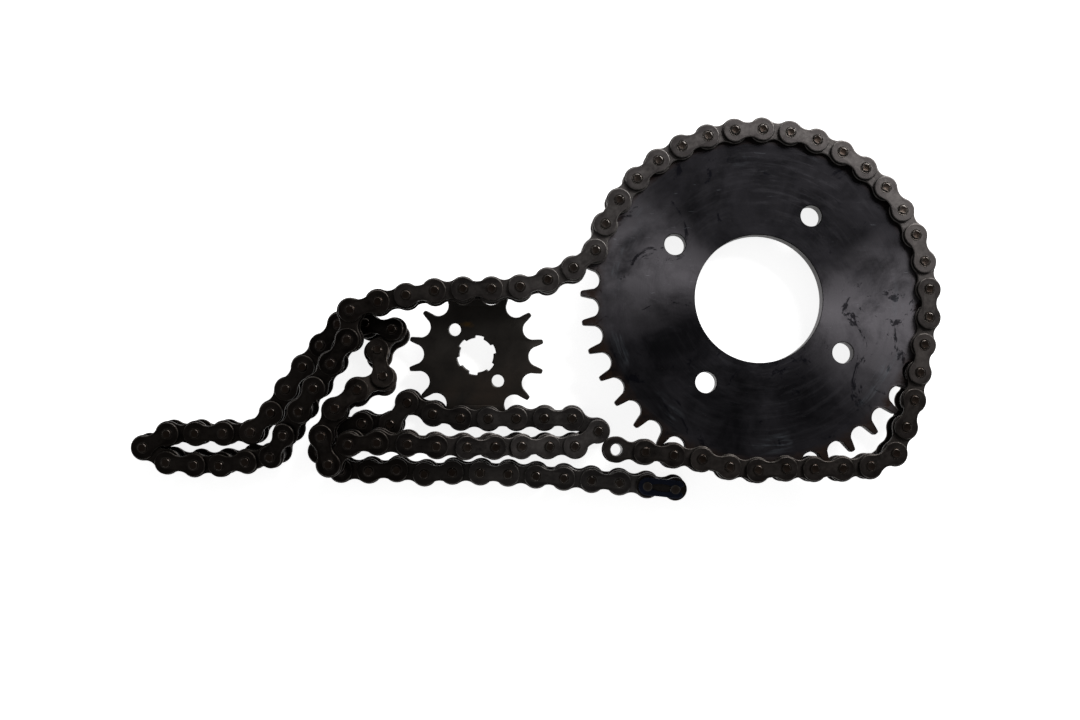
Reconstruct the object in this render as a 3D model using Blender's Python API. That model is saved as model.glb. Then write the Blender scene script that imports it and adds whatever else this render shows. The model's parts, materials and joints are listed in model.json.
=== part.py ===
"""Motorcycle drive chain set, lying flat: a 104-link roller chain of 12.7 mm pitch
wrapped round a 38-tooth rear sprocket, with a loose 14-tooth front sprocket.

The pins are numbered 1 to 105 along the chain. Pin 1 is the open bush of the first
inner link, pin 105 the far pin of the connecting link. An inner link joins an odd pin
to the next even one, an outer link an even pin to the next odd one.
Lengths are millimetres in the constants and metres in the meshes. +Z is up.
"""
import bpy
import bmesh
import numpy as np
from math import sin, cos, pi, radians, sqrt
from mathutils import Matrix, Vector
from mathutils.geometry import tessellate_polygon

MM = 0.001
# chain
PITCH = 12.7
LINKS = 104
PLATE_IN = 3.95          # half the width between the inner plates
PLATE = 1.15             # plate thickness
PLATE_GAP = 0.95         # between an inner and an outer plate, for the links to tilt in
INNER_R = 5.9            # end radius of an inner plate
INNER_WAIST = 3.9        # half the height of its waist
OUTER_R = 5.3
OUTER_WAIST = 3.4
ROLLER_R = 4.255
BUSH_R = 3.25
BUSH_BORE_R = 2.60       # the first link's two bushes, made in full
BORE_R = 3.40            # a bush's bore with the play the laid-out links tilt in
PIN_R = 2.22
Z0 = PLATE_IN
Z1 = Z0 + PLATE
Z2 = Z1 + PLATE_GAP
Z3 = Z2 + PLATE
PIN_END = Z3 + 0.2       # a pin end stands this high over the mid-plane
LEVEL = 17.2             # rise of a strand that lies over another
BANKING_ROUNDS, UPRIGHT = 120, 0.05   # how far the loose links bank with their neighbours
# connecting link
CLIP_LOW, CLIP_HIGH, HEAD_TOP = Z3 + 0.32, Z3 + 1.02, Z3 + 1.45
GROOVE_R = 1.55
# rear sprocket
REAR_TEETH = 38
REAR_TIP_R = 80.4
REAR_BORE_R = 29.0
REAR_BOLT_CIRCLE_R = 45.0
REAR_BOLT_R = 4.8
REAR_BOLT_AT = 57.0      # degrees, first of four
THICK = 6.8              # both sprockets
SEAT_R = ROLLER_R + 0.45
# front sprocket
FRONT_TEETH = 14
FRONT_TIP_R = 31.2
FRONT_SEAT = 29.4        # its axis to the two rollers that it rests on
SPLINE_R, SPLINE_ROOT_R = 7.9, 9.1
LOCK_HOLE_R, LOCK_HOLE_AT = 2.9, 15.3

REAR_R = PITCH / (2 * sin(pi / REAR_TEETH))
FRONT_R = PITCH / (2 * sin(pi / FRONT_TEETH))
PHASE = radians(-16.0)   # where roller FIRST sits on the rear sprocket
FIRST, LAST = 15, 34     # the rollers seated round the top of the rear sprocket

# Where the loose part of the chain lies, seen from above, from the rear sprocket's axis.
LAY = {35: (-84, 14), 36: (-94, 6), 37: (-106, 3), 38: (-118, 3),
       39: (-131, 5), 40: (-144, 5), 41: (-157, 2), 42: (-170, -2), 43: (-183, -6),
       44: (-183, -19), 46: (-198, -38), 47: (-206, -48), 48: (-211, -59),
       49: (-218, -71), 50: (-230, -75), 51: (-243, -77), 52: (-256, -77),
       53: (-269, -74), 54: (-280, -66), 55: (-268, -60), 56: (-256, -61),
       57: (-243, -62), 58: (-231, -60), 59: (-221, -53), 60: (-214, -41),
       61: (-206, -31), 62: (-197, -21), 63: (-189, -12), 64: (-176, -11),
       65: (-167, -14), 66: (-172, -24), 67: (-173, -35), 68: (-184, -41),
       69: (-194, -48), 70: (-200, -59), 71: (-194, -70), 72: (-183, -63),
       73: (-170, -62), 74: (-158, -64), 75: (-145, -66), 76: (-133, -66),
       78: (-108, -66), 80: (-83, -68), 81: (-72, -60), 82: (-84, -55),
       83: (-97, -54), 84: (-110, -54), 86: (-135, -56), 87: (-148, -57),
       88: (-160, -51), 89: (-172, -54), 90: (-184, -55), 91: (-195, -60),
       92: (-197, -68), 93: (-189, -77), 94: (-177, -78), 95: (-166, -77),
       97: (-141, -78), 99: (-116, -79), 101: (-90, -81), 103: (-64, -83),
       105: (-38, -86)}
TURNS = {35, 43, 44, 49, 54, 58, 59, 63, 65, 66, 67, 71, 72, 81, 88, 89}


# ---------------------------------------------------------------- where the pins lie
def sprocket_plane():
    """Height hc + gx*x + gy*y of the plane of the rear sprocket and its strands: it
    touches the ground under the ring and lies LEVEL higher at two far supports."""
    ax, ay = -183.0, -6.0
    bx, by = -67.0, -70.6
    gx = -1.0
    gy = gx * (ax - bx) / (by - ay)
    steep = sqrt(gx * gx + gy * gy)
    k = LEVEL / ((REAR_R + INNER_R) * steep + gx * ax + gy * ay)
    return PIN_END + (REAR_R + INNER_R) * steep * k, gx * k, gy * k


HC, GX, GY = sprocket_plane()
TILT = np.array([-GX, -GY, 1.0]) / sqrt(GX * GX + GY * GY + 1)
CENTRE = np.array([0.0, 0.0, HC])
U = np.array([1.0, 0.0, GX]) / sqrt(1 + GX * GX)
V = np.cross(TILT, U)
UP = np.array([0.0, 0.0, 1.0])


def on_plane(u, v):
    return CENTRE + u * U + v * V


def seat(i):
    a = PHASE + (i - FIRST) * 2 * pi / REAR_TEETH
    return REAR_R * np.array([cos(a), sin(a)])


def ease(t):
    t = min(max(t, 0.0), 1.0)
    return 2 * t * t if t < 0.5 else 1 - 2 * (1 - t) ** 2


def height(i, x, y):
    """Mid-plane height of pin i: on the sprocket's plane up to pin 42, then over the
    crossing strands and down to the ground, up over the folded strand, and down."""
    plane = HC + GX * x + GY * y
    if i <= 42:
        return plane
    if i == 43:
        return 0.5 * (plane + PIN_END + LEVEL)
    if i <= 57:
        over = 1 - ease((i - 44) / 9)
    elif i <= 73:
        over = ease((i - 62.4) / 8.2)
    else:
        over = 1 - ease((i - 73) / 8.5)
    return PIN_END + LEVEL * over


def bulging_run(n, a, b, weights):
    """n links from a to b in the sprocket's plane that bend by the given shares."""
    share = np.concatenate([[0.0], np.cumsum(weights)])

    def end(h, t):
        q = h - t * share
        return a + PITCH * np.array([np.cos(q).sum(), np.sin(q).sum()])

    h, t, d = radians(-98), radians(80), 1e-5
    for _ in range(60):
        jac = np.array([(end(h + d, t) - end(h - d, t)) / (2 * d),
                        (end(h, t + d) - end(h, t - d)) / (2 * d)]).T
        s = np.clip(np.linalg.solve(jac, end(h, t) - b), -0.2, 0.2)
        h, t = h - s[0], t - s[1]
    out = [a]
    for q in h - t * share:
        out.append(out[-1] + PITCH * np.array([cos(q), sin(q)]))
    return out


def pin_points():
    """The mid-plane point of every pin, each exactly one pitch from the next."""
    pts = {i: on_plane(*seat(i)) for i in range(FIRST, LAST + 1)}
    # round the lower right corner and back to four seated rollers, pins 7 to 4
    run = bulging_run(8, seat(FIRST), seat(FIRST - 7), (.03, .07, .06, .50, .27, .05, .02))
    for k, q in enumerate(run[:-1]):
        pts[FIRST - k] = on_plane(*q)
    for k in range(4):
        pts[7 - k] = on_plane(*seat(FIRST - 7 - k))
    q = seat(FIRST - 10)
    for k, heading in enumerate((172.0, 173.0, 175.0)):
        q = q + PITCH * np.array([cos(radians(heading)), sin(radians(heading))])
        pts[3 - k] = on_plane(*q)
    # the loose part: drawn to the laying points, strands kept apart, pitch kept
    idx = list(range(LAST, LINKS + 2))
    n = len(idx)
    known = [LAST] + sorted(LAY)
    x = np.zeros((n, 3))
    x[:, 0] = np.interp(idx, known, [pts[LAST][0]] + [LAY[k][0] for k in sorted(LAY)])
    x[:, 1] = np.interp(idx, known, [pts[LAST][1]] + [LAY[k][1] for k in sorted(LAY)])
    at = np.array([k - LAST for k in sorted(LAY)])
    goal = np.array([LAY[k] for k in sorted(LAY)], float)
    soft = np.array([0.0 if k in TURNS else 0.025 for k in idx])[1:-1, None]
    own = np.concatenate([np.arange(n), np.arange(n - 1) + 0.5])
    far = np.abs(own[:, None] - own[None, :])
    need = np.where(far >= 2.9, 12.05, 0.0)
    need = np.where(np.abs(far - 2) < 0.1, 14.0, need)
    rounds = 2600
    for it in range(rounds):
        x[at, :2] += 0.1 * min(1.0, (rounds - it) / 600) * (goal - x[at, :2])
        x[:, 2] = [height(i, a, b) for i, (a, b) in zip(idx, x[:, :2])]
        if it % 2 == 0:
            q = np.concatenate([x, (x[1:] + x[:-1]) / 2])
            d = q[:, None, :2] - q[None, :, :2]
            dist = np.linalg.norm(d, axis=2) + 1e-9
            close = (dist < need) & (np.abs(q[:, None, 2] - q[None, :, 2]) < 15.2)
            push = np.where(close, (need - dist) * 0.22, 0.0)
            move = (d / dist[..., None] * push[..., None]).sum(1)
            x[:, :2] += move[:n] * 0.5
            x[:-1, :2] += move[n:] * 0.25
            x[1:, :2] += move[n:] * 0.25
        x[1:-1, :2] += soft * ((x[2:, :2] + x[:-2, :2]) / 2 - x[1:-1, :2])
        x[0] = pts[LAST]
        for _ in range(8):
            for first in (0, 1):
                a = np.arange(first, n - 1, 2)
                v = x[a + 1] - x[a]
                length = np.linalg.norm(v, axis=1)
                c = ((length - PITCH) / length / 2)[:, None] * v
                c[:, 2] = 0
                x[a] += c
                x[a + 1] -= c
            x[0] = pts[LAST]
    for k in range(1, n):
        v = x[k] - x[k - 1]
        x[k, 2] = height(idx[k], x[k, 0], x[k, 1])
        rise = x[k, 2] - x[k - 1, 2]
        x[k, :2] = x[k - 1, :2] + v[:2] / np.linalg.norm(v[:2]) * sqrt(PITCH ** 2 - rise ** 2)
    for k, i in enumerate(idx):
        pts[i] = x[k]
    return pts


def link_frames(pts):
    """4x4 of each link: origin on its first pin's mid-plane point, X to the next pin, Z
    along the pins. The loose links bank, so that each pin lies nearly along its neighbour."""
    run = {i: (pts[i + 1] - pts[i]) / PITCH for i in range(1, LINKS + 1)}

    def square(v, d):
        v = v - v.dot(d) * d
        return v / np.linalg.norm(v)

    level = {}
    for i in run:
        share = min(max((46 - i) / 5.0, 0.0), 1.0)
        level[i] = square(TILT * share + UP * (1 - share), run[i])
    z = dict(level)
    for _ in range(BANKING_ROUNDS):
        old = dict(z)
        for i in range(LAST + 7, LINKS + 1):
            after = old[min(i + 1, LINKS)]
            z[i] = square((old[i - 1] + after) * 0.5 * (1 - UPRIGHT) + level[i] * UPRIGHT, run[i])
    out = {}
    for i, d in run.items():
        y = np.cross(z[i], d)
        out[i] = Matrix(((d[0], y[0], z[i][0], pts[i][0]), (d[1], y[1], z[i][1], pts[i][1]),
                         (d[2], y[2], z[i][2], pts[i][2]), (0, 0, 0, 1)))
    return out


# ---------------------------------------------------------------- outlines
def circle(r, n, cx=0.0, cy=0.0, phase=0.0):
    return [(cx + r * cos(phase + 2 * pi * k / n), cy + r * sin(phase + 2 * pi * k / n))
            for k in range(n)]


def plate_outline(r, waist):
    """A figure-eight plate from pin 0 to pin PITCH along X."""
    left = [(r * cos(radians(a)), r * sin(radians(a))) for a in (103, 152, 208, 257)]
    right = [(PITCH - x, -y) for x, y in left]
    return left + [(PITCH / 2, -waist)] + right + [(PITCH / 2, waist)]


def tooth_outline(teeth, pitch_r, tip_r, tip_half, phase):
    """Seats for the rollers, with straight flanks up to narrow tips."""
    out = []
    step = 2 * pi / teeth
    for k in range(teeth):
        a = phase + k * step
        for b in (-62, -32, 0, 32, 62):
            rad, tan = pitch_r - SEAT_R * cos(radians(b)), SEAT_R * sin(radians(b))
            out.append((rad * cos(a) - tan * sin(a), rad * sin(a) + tan * cos(a)))
        m = a + step / 2
        for side in (-1, 1):
            q = m + side * tip_half / tip_r
            out.append((tip_r * cos(q), tip_r * sin(q)))
    return out


# ---------------------------------------------------------------- mesh making
class Builder:
    def __init__(self):
        self.bm = bmesh.new()

    def ring(self, outline, z, frame=None):
        frame = frame or Matrix.Identity(4)
        return [self.bm.verts.new(frame @ Vector((x, y, z))) for x, y in outline]

    def wall(self, a, b):
        for k in range(len(a)):
            m = (k + 1) % len(a)
            self.bm.faces.new((a[k], a[m], b[m], b[k]))

    def cap(self, outline, rings, outlines):
        """Fills the flat face between the outer ring and its holes."""
        flat = [[Vector((x, y, 0)) for x, y in o] for o in [outline] + outlines]
        verts = [v for r in rings for v in r]
        for t in tessellate_polygon(flat):
            self.bm.faces.new([verts[k] for k in t])

    def prism(self, outline, low, high, holes=(), frame=None):
        """A plate with an outline and through holes."""
        lo = [self.ring(o, low, frame) for o in (outline, *holes)]
        hi = [self.ring(o, high, frame) for o in (outline, *holes)]
        for a, b in zip(lo, hi):
            self.wall(a, b)
        self.cap(outline, lo, list(holes))
        self.cap(outline, hi, list(holes))

    def finish(self, name, placed, material):
        """An object whose own frame is `placed`; the mesh was made in world millimetres."""
        bmesh.ops.recalc_face_normals(self.bm, faces=self.bm.faces)
        if self.bm.calc_volume(signed=True) < 0:
            bmesh.ops.reverse_faces(self.bm, faces=self.bm.faces)
        self.bm.transform(placed.inverted())
        self.bm.transform(Matrix.Scale(MM, 4))
        mesh = bpy.data.meshes.new(name)
        self.bm.to_mesh(mesh)
        self.bm.free()
        mesh.shade_smooth()
        mesh.set_sharp_from_angle(angle=radians(28))
        mesh.materials.append(material)
        obj = bpy.data.objects.new(name, mesh)
        bpy.context.collection.objects.link(obj)
        home = placed.copy()
        home.translation = placed.translation * MM
        obj.matrix_world = home
        return obj


def finish_material(name, colour, rough, metal=1.0):
    mat = bpy.data.materials.new(name)
    mat.use_nodes = True
    shader = mat.node_tree.nodes["Principled BSDF"]
    shader.inputs["Base Color"].default_value = (*colour, 1)
    shader.inputs["Roughness"].default_value = rough
    shader.inputs["Metallic"].default_value = metal
    mat.diffuse_color = (*colour, 1)
    return mat


INNER = plate_outline(INNER_R, INNER_WAIST)
OUTER = plate_outline(OUTER_R, OUTER_WAIST)
SIDES = 6


def links(build, frames, kinds, open_first, open_last):
    """A run of links in one solid. kinds is 'inner' or 'outer' for each link. An open
    end of an inner link is a bored bush, and of an outer link a through pin."""
    count = len(frames)
    joined = {}
    for k, (frame, kind) in enumerate(zip(frames, kinds)):
        ends = [("open" if (k == 0 and open_first) else "join", 0.0),
                ("open" if (k == count - 1 and open_last) else "join", PITCH)]
        turn = 0.0
        if k:
            turn = (frames[k - 1].to_3x3().inverted() @ frame.to_3x3()).to_euler().z
        for side in (-1, 1):
            if kind == "inner":
                hole_in = [circle(ROLLER_R, SIDES, x) for _, x in ends]
                hole_out, rings_out = [], []
                for what, x in ends:
                    r = BORE_R if what == "open" else PIN_R
                    hole_out.append(circle(r, SIDES, x, 0, -turn if (x == 0 and k) else 0))
                low = [build.ring(o, side * Z0, frame) for o in [INNER] + hole_in]
                high = [build.ring(o, side * Z1, frame) for o in [INNER] + hole_out]
                build.wall(low[0], high[0])
                build.cap(INNER, low, hole_in)
                build.cap(INNER, high, hole_out)
                for (what, x), lo, hi in zip(ends, low[1:], high[1:]):
                    joined[k, x, side] = (lo, hi, what)
            else:
                holes = [circle(PIN_R, SIDES, x, 0, -turn if (x == 0 and k) else 0)
                         for _, x in ends]
                low = [build.ring(o, side * Z2, frame) for o in [OUTER] + holes]
                high = build.ring(OUTER, side * Z3, frame)
                build.wall(low[0], high)
                build.cap(OUTER, low, holes)
                build.cap(OUTER, [high], [])
                for (what, x), lo in zip(ends, low[1:]):
                    joined[k, x, side] = (None, lo, what)
    for k, kind in enumerate(kinds):
        for x in (0.0, PITCH):
            lo, hi, what = joined[k, x, -1]
            lo2, hi2, _ = joined[k, x, 1]
            if kind == "inner":
                build.wall(lo, lo2)                       # the roller
                if what == "open":
                    build.wall(hi, hi2)                   # the bush's bore
            elif what == "open":
                build.wall(hi, hi2)                       # the pin
        if k:
            for side in (-1, 1):                          # the pin between two plates
                build.wall(joined[k - 1, PITCH, side][1], joined[k, 0.0, side][1])


def kind_of(i):
    return "inner" if i % 2 else "outer"


def hinge_frame(pts, frames, pin):
    """A frame on a pin, its Z along the pin: that of the outer link that holds it."""
    outer = frames[pin - 1] if pin % 2 else frames[pin]
    m = outer.copy()
    m.translation = Vector(pts[pin])
    return m


def main():
    for o in list(bpy.data.objects):
        bpy.data.objects.remove(o, do_unlink=True)
    steel = finish_material("chain_steel", (0.16, 0.15, 0.145), 0.42)
    bare = finish_material("bare_steel", (0.30, 0.28, 0.26), 0.35)
    blued = finish_material("blued_steel", (0.035, 0.04, 0.06), 0.35)
    dark = finish_material("black_oxide", (0.045, 0.045, 0.05), 0.4)
    grey = finish_material("grey_steel", (0.12, 0.11, 0.105), 0.55)

    pts = pin_points()
    frames = link_frames(pts)
    made = []

    def solid(name, frame_of, material, make):
        b = Builder()
        make(b)
        made.append(b.finish(name, frame_of, material))

    # rear sprocket
    ring = Matrix(((U[0], V[0], TILT[0], CENTRE[0]), (U[1], V[1], TILT[1], CENTRE[1]),
                   (U[2], V[2], TILT[2], CENTRE[2]), (0, 0, 0, 1)))
    bolt = [circle(REAR_BOLT_R, 10, REAR_BOLT_CIRCLE_R * cos(radians(REAR_BOLT_AT + 90 * k)),
                   REAR_BOLT_CIRCLE_R * sin(radians(REAR_BOLT_AT + 90 * k)))
            for k in range(4)]
    solid("rear_sprocket", ring, dark, lambda b: b.prism(
        tooth_outline(REAR_TEETH, REAR_R, REAR_TIP_R, 0.9, PHASE), -THICK / 2, THICK / 2,
        [circle(REAR_BORE_R, 36)] + bolt, ring))

    # front sprocket, seated on the rollers of pins 85 and 86
    a, b2 = pts[85], pts[86]
    mid = (a + b2) / 2
    along = (b2 - a) / PITCH
    away = np.array([along[1], -along[0], 0.0])
    away = away if away[1] > 0 else -away
    hub = mid + away * sqrt(FRONT_SEAT ** 2 - (PITCH / 2) ** 2)
    hub[2] = PIN_END
    start = np.arctan2(-away[1], -away[0]) + pi / FRONT_TEETH
    flat = Matrix.Translation(Vector(hub))
    spline = []
    for k in range(6):
        c = radians(20 + 60 * k)
        spline += [(SPLINE_R * cos(c - .30), SPLINE_R * sin(c - .30)),
                   (SPLINE_ROOT_R * cos(c - .20), SPLINE_ROOT_R * sin(c - .20)),
                   (SPLINE_ROOT_R * cos(c + .20), SPLINE_ROOT_R * sin(c + .20)),
                   (SPLINE_R * cos(c + .30), SPLINE_R * sin(c + .30))]
    lock = [circle(LOCK_HOLE_R, 10, LOCK_HOLE_AT * cos(q), LOCK_HOLE_AT * sin(q))
            for q in (radians(130), radians(310))]
    solid("front_sprocket", flat, grey, lambda b: b.prism(
        tooth_outline(FRONT_TEETH, FRONT_R, FRONT_TIP_R, 0.8, start), -THICK / 2, THICK / 2,
        [spline] + lock, flat))

    # first inner link in all its pieces
    f1 = frames[1]
    end2 = f1 @ Matrix.Translation((PITCH, 0, 0))
    hole = [circle(BUSH_R + 0.3, 12, x) for x in (0.0, PITCH)]
    for name, low in (("end_inner_plate_top", Z0), ("end_inner_plate_bottom", -Z1)):
        solid(name, end2, steel, lambda b, low=low: b.prism(INNER, low, low + PLATE, hole, f1))
    for name, frame in (("end_bush_1", f1), ("end_bush_2", end2)):
        solid(name, frame, bare, lambda b, frame=frame: b.prism(
            circle(BUSH_R, 12), -Z1, Z1, [circle(BUSH_BORE_R, 12)], frame))
    for name, frame in (("end_roller_1", f1), ("end_roller_2", end2)):
        solid(name, frame, bare, lambda b, frame=frame: b.prism(
            circle(ROLLER_R, 12), -(Z0 - 0.3), Z0 - 0.3, [circle(BUSH_R + 0.3, 12)], frame))

    # single outer link, then the runs of links
    solid("outer_link_002_003", hinge_frame(pts, frames, 3), steel,
          lambda b: links(b, [frames[2]], ["outer"], True, True))
    stops = list(range(3, 18, 2)) + [21, 25, 29, 33] + list(range(35, 104, 2))
    for a, c in zip(stops, stops[1:]):
        pin = c if a < 21 else a
        home = ring if a == 21 else hinge_frame(pts, frames, pin)
        solid(f"links_{a:03d}_{c:03d}", home, steel,
              lambda b, a=a, c=c: links(b, [frames[i] for i in range(a, c)],
                                        [kind_of(i) for i in range(a, c)], True, True))
    solid("inner_link_103_104", hinge_frame(pts, frames, 103), steel,
          lambda b: links(b, [frames[103]], ["inner"], True, True))

    # connecting link: lower plate with its two pins, upper plate, spring clip
    last = frames[104]
    c_frame = hinge_frame(pts, frames, 104)

    def pin_plate(b):
        low = b.ring(OUTER, -Z3, last)
        b.cap(OUTER, [low], [])
        holes = [circle(PIN_R, 12, x) for x in (0.0, PITCH)]
        high = [b.ring(o, -Z2, last) for o in [OUTER] + holes]
        b.wall(low, high[0])
        b.cap(OUTER, high, holes)
        for r, x in zip(high[1:], (0.0, PITCH)):
            neck = circle(GROOVE_R, 12, x)
            steps = [b.ring(circle(PIN_R, 12, x), CLIP_LOW - 0.1, last),
                     b.ring(neck, CLIP_LOW - 0.1, last), b.ring(neck, CLIP_HIGH + 0.1, last),
                     b.ring(circle(PIN_R - 0.1, 12, x), CLIP_HIGH + 0.1, last),
                     b.ring(circle(PIN_R - 0.3, 12, x), HEAD_TOP, last)]
            for lo, hi in zip([r] + steps, steps):
                b.wall(lo, hi)
            b.cap(circle(PIN_R - 0.3, 12, x), [steps[-1]], [])

    solid("connecting_link_pins", c_frame, steel, pin_plate)
    solid("connecting_link_plate", c_frame, steel, lambda b: b.prism(
        OUTER, Z2, Z3, [circle(PIN_R + 0.3, 12, x) for x in (0.0, PITCH)], last))
    # an open U: closed round pin 104, its legs past pin 105
    slot, half, reach = GROOVE_R + 0.3, 4.1, PITCH + 3.6
    arc = [radians(90 + 180 * k / 8) for k in range(9)]
    u = ([(reach, slot)] + [(slot * cos(q), slot * sin(q)) for q in arc] + [(reach, -slot)]
         + [(reach - 0.6, -half)] + [(half * cos(q), half * sin(q)) for q in reversed(arc)]
         + [(reach - 0.6, half)])
    solid("spring_clip", c_frame, blued, lambda b: b.prism(u, CLIP_LOW, CLIP_HIGH, (), last))

    # stand the set on the ground, centred
    bpy.context.view_layer.update()
    corners = np.array([o.matrix_world @ v.co for o in made for v in o.data.vertices])
    lo, hi = corners.min(0), corners.max(0)
    shift = Vector((-(lo[0] + hi[0]) / 2, -(lo[1] + hi[1]) / 2, -lo[2]))
    for o in made:
        o.location = o.location + shift
    bpy.context.view_layer.update()
    return made


main()
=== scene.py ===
"""Looks of the laid-out motorcycle chain set: every plate, pin, bush and roller of the
104 links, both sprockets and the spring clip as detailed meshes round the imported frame."""
import json
import random
from math import sin, cos, pi, radians, sqrt, atan2, hypot, acos
import bpy
import numpy as np
from mathutils import Matrix, Vector
from mathutils.geometry import tessellate_polygon

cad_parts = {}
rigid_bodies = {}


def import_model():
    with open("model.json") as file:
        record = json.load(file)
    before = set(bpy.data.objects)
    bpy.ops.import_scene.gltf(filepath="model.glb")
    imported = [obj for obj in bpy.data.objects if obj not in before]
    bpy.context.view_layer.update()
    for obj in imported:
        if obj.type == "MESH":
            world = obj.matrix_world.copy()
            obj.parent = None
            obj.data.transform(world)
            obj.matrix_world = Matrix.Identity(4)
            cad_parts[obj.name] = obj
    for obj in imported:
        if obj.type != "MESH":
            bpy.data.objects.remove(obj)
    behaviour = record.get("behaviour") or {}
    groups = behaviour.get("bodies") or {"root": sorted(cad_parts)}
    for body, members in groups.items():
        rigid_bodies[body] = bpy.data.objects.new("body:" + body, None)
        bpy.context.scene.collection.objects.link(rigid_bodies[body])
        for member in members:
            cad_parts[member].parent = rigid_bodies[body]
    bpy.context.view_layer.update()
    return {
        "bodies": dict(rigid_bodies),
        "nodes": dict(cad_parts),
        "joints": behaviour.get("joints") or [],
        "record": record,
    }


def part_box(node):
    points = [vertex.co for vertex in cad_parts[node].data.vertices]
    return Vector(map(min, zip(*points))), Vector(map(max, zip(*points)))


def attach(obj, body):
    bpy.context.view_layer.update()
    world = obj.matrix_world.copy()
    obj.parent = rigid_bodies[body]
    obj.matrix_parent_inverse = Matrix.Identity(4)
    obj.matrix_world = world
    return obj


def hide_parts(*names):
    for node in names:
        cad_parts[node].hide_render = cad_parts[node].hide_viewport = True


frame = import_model()
MM = 0.001
random.seed(7)

# the same lengths and route as the CAD, in millimetres
# chain
PITCH = 12.7
LINKS = 104
PLATE_IN = 3.95          # half the width between the inner plates
PLATE = 1.15             # plate thickness
PLATE_GAP = 0.95         # between an inner and an outer plate, for the links to tilt in
INNER_R = 5.9            # end radius of an inner plate
INNER_WAIST = 3.9        # half the height of its waist
OUTER_R = 5.3
OUTER_WAIST = 3.4
ROLLER_R = 4.255
BUSH_R = 3.25
BUSH_BORE_R = 2.60       # the first link's two bushes, made in full
BORE_R = 3.40            # a bush's bore with the play the laid-out links tilt in
PIN_R = 2.22
Z0 = PLATE_IN
Z1 = Z0 + PLATE
Z2 = Z1 + PLATE_GAP
Z3 = Z2 + PLATE
PIN_END = Z3 + 0.2       # a pin end stands this high over the mid-plane
LEVEL = 17.2             # rise of a strand that lies over another
BANKING_ROUNDS, UPRIGHT = 120, 0.05   # how far the loose links bank with their neighbours
# connecting link
CLIP_LOW, CLIP_HIGH, HEAD_TOP = Z3 + 0.32, Z3 + 1.02, Z3 + 1.45
GROOVE_R = 1.55
# rear sprocket
REAR_TEETH = 38
REAR_TIP_R = 80.4
REAR_BORE_R = 29.0
REAR_BOLT_CIRCLE_R = 45.0
REAR_BOLT_R = 4.8
REAR_BOLT_AT = 57.0      # degrees, first of four
THICK = 6.8              # both sprockets
SEAT_R = ROLLER_R + 0.45
# front sprocket
FRONT_TEETH = 14
FRONT_TIP_R = 31.2
FRONT_SEAT = 29.4        # its axis to the two rollers that it rests on
SPLINE_R, SPLINE_ROOT_R = 7.9, 9.1
LOCK_HOLE_R, LOCK_HOLE_AT = 2.9, 15.3

REAR_R = PITCH / (2 * sin(pi / REAR_TEETH))
FRONT_R = PITCH / (2 * sin(pi / FRONT_TEETH))
PHASE = radians(-16.0)   # where roller FIRST sits on the rear sprocket
FIRST, LAST = 15, 34     # the rollers seated round the top of the rear sprocket

# Where the loose part of the chain lies, seen from above, from the rear sprocket's axis.
LAY = {35: (-84, 14), 36: (-94, 6), 37: (-106, 3), 38: (-118, 3),
       39: (-131, 5), 40: (-144, 5), 41: (-157, 2), 42: (-170, -2), 43: (-183, -6),
       44: (-183, -19), 46: (-198, -38), 47: (-206, -48), 48: (-211, -59),
       49: (-218, -71), 50: (-230, -75), 51: (-243, -77), 52: (-256, -77),
       53: (-269, -74), 54: (-280, -66), 55: (-268, -60), 56: (-256, -61),
       57: (-243, -62), 58: (-231, -60), 59: (-221, -53), 60: (-214, -41),
       61: (-206, -31), 62: (-197, -21), 63: (-189, -12), 64: (-176, -11),
       65: (-167, -14), 66: (-172, -24), 67: (-173, -35), 68: (-184, -41),
       69: (-194, -48), 70: (-200, -59), 71: (-194, -70), 72: (-183, -63),
       73: (-170, -62), 74: (-158, -64), 75: (-145, -66), 76: (-133, -66),
       78: (-108, -66), 80: (-83, -68), 81: (-72, -60), 82: (-84, -55),
       83: (-97, -54), 84: (-110, -54), 86: (-135, -56), 87: (-148, -57),
       88: (-160, -51), 89: (-172, -54), 90: (-184, -55), 91: (-195, -60),
       92: (-197, -68), 93: (-189, -77), 94: (-177, -78), 95: (-166, -77),
       97: (-141, -78), 99: (-116, -79), 101: (-90, -81), 103: (-64, -83),
       105: (-38, -86)}
TURNS = {35, 43, 44, 49, 54, 58, 59, 63, 65, 66, 67, 71, 72, 81, 88, 89}


# ---------------------------------------------------------------- where the pins lie
def sprocket_plane():
    """Height hc + gx*x + gy*y of the plane of the rear sprocket and its strands: it
    touches the ground under the ring and lies LEVEL higher at two far supports."""
    ax, ay = -183.0, -6.0
    bx, by = -67.0, -70.6
    gx = -1.0
    gy = gx * (ax - bx) / (by - ay)
    steep = sqrt(gx * gx + gy * gy)
    k = LEVEL / ((REAR_R + INNER_R) * steep + gx * ax + gy * ay)
    return PIN_END + (REAR_R + INNER_R) * steep * k, gx * k, gy * k


HC, GX, GY = sprocket_plane()
TILT = np.array([-GX, -GY, 1.0]) / sqrt(GX * GX + GY * GY + 1)
CENTRE = np.array([0.0, 0.0, HC])
U = np.array([1.0, 0.0, GX]) / sqrt(1 + GX * GX)
V = np.cross(TILT, U)
UP = np.array([0.0, 0.0, 1.0])


def on_plane(u, v):
    return CENTRE + u * U + v * V


def seat(i):
    a = PHASE + (i - FIRST) * 2 * pi / REAR_TEETH
    return REAR_R * np.array([cos(a), sin(a)])


def ease(t):
    t = min(max(t, 0.0), 1.0)
    return 2 * t * t if t < 0.5 else 1 - 2 * (1 - t) ** 2


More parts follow.
